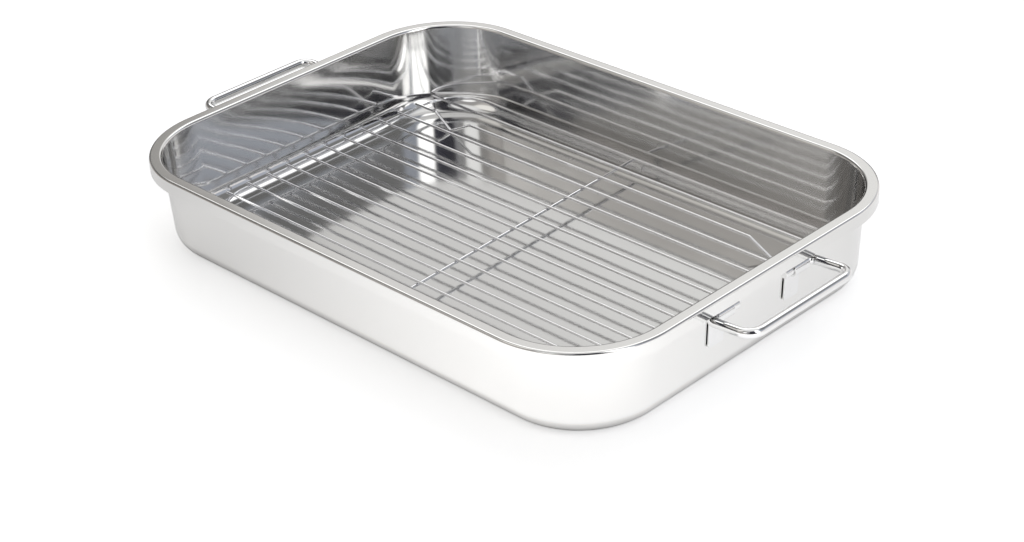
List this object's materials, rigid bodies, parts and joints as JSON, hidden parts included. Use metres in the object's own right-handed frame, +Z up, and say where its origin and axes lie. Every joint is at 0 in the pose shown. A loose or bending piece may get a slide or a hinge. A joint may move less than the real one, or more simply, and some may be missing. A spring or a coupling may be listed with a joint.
{
  "type": "roasting pan with rack",
  "caption": "Rectangular stainless steel roasting pan with rounded corners, a flat turned-down rim, folding wire handles at both ends and a loose wire rack.",
  "frame": {"origin": "middle of the pan's flat underside", "axes": "+X along the pan towards the right end wall, +Y towards the back wall, +Z up"},
  "size_m": [0.4784, 0.3048, 0.0635],
  "materials": {
    "pan_sheet": "polished",
    "bracket_sheet": "satin",
    "bail_wire": "polished",
    "rack_wire": "bright plated"
  },
  "bodies": {
    "pan": {"pan_shell": "pan_sheet", "bracket_right_front": "bracket_sheet", "bracket_right_back": "bracket_sheet", "bracket_left_front": "bracket_sheet", "bracket_left_back": "bracket_sheet"},
    "right_bail": {"handle_right": "bail_wire"},
    "left_bail": {"handle_left": "bail_wire"},
    "rack": {"rack_frame": "rack_wire", "rack_cross_wire": "rack_wire", "rack_wire_1": "rack_wire", "rack_wire_2": "rack_wire", "rack_wire_3": "rack_wire", "rack_wire_4": "rack_wire", "rack_wire_5": "rack_wire", "rack_wire_6": "rack_wire", "rack_wire_7": "rack_wire", "rack_wire_8": "rack_wire", "rack_wire_9": "rack_wire", "rack_wire_10": "rack_wire", "rack_wire_11": "rack_wire", "rack_wire_12": "rack_wire"}
  },
  "joints": [
    {"name": "right_bail_hinge", "type": "hinge", "parent": "pan", "child": "right_bail", "pos_m": [0.20507, 0, 0.0498], "axis": [0, 1, 0], "range_deg": [-11, 96]},
    {"name": "left_bail_hinge", "type": "hinge", "parent": "pan", "child": "left_bail", "pos_m": [-0.20507, -0.006, 0.0498], "axis": [0, -1, 0], "range_deg": [-11, 96]},
    {"name": "rack_lift", "type": "slide", "parent": "pan", "child": "rack", "axis": [0, 0, 1], "range_m": [0, 0.1]}
  ]
}
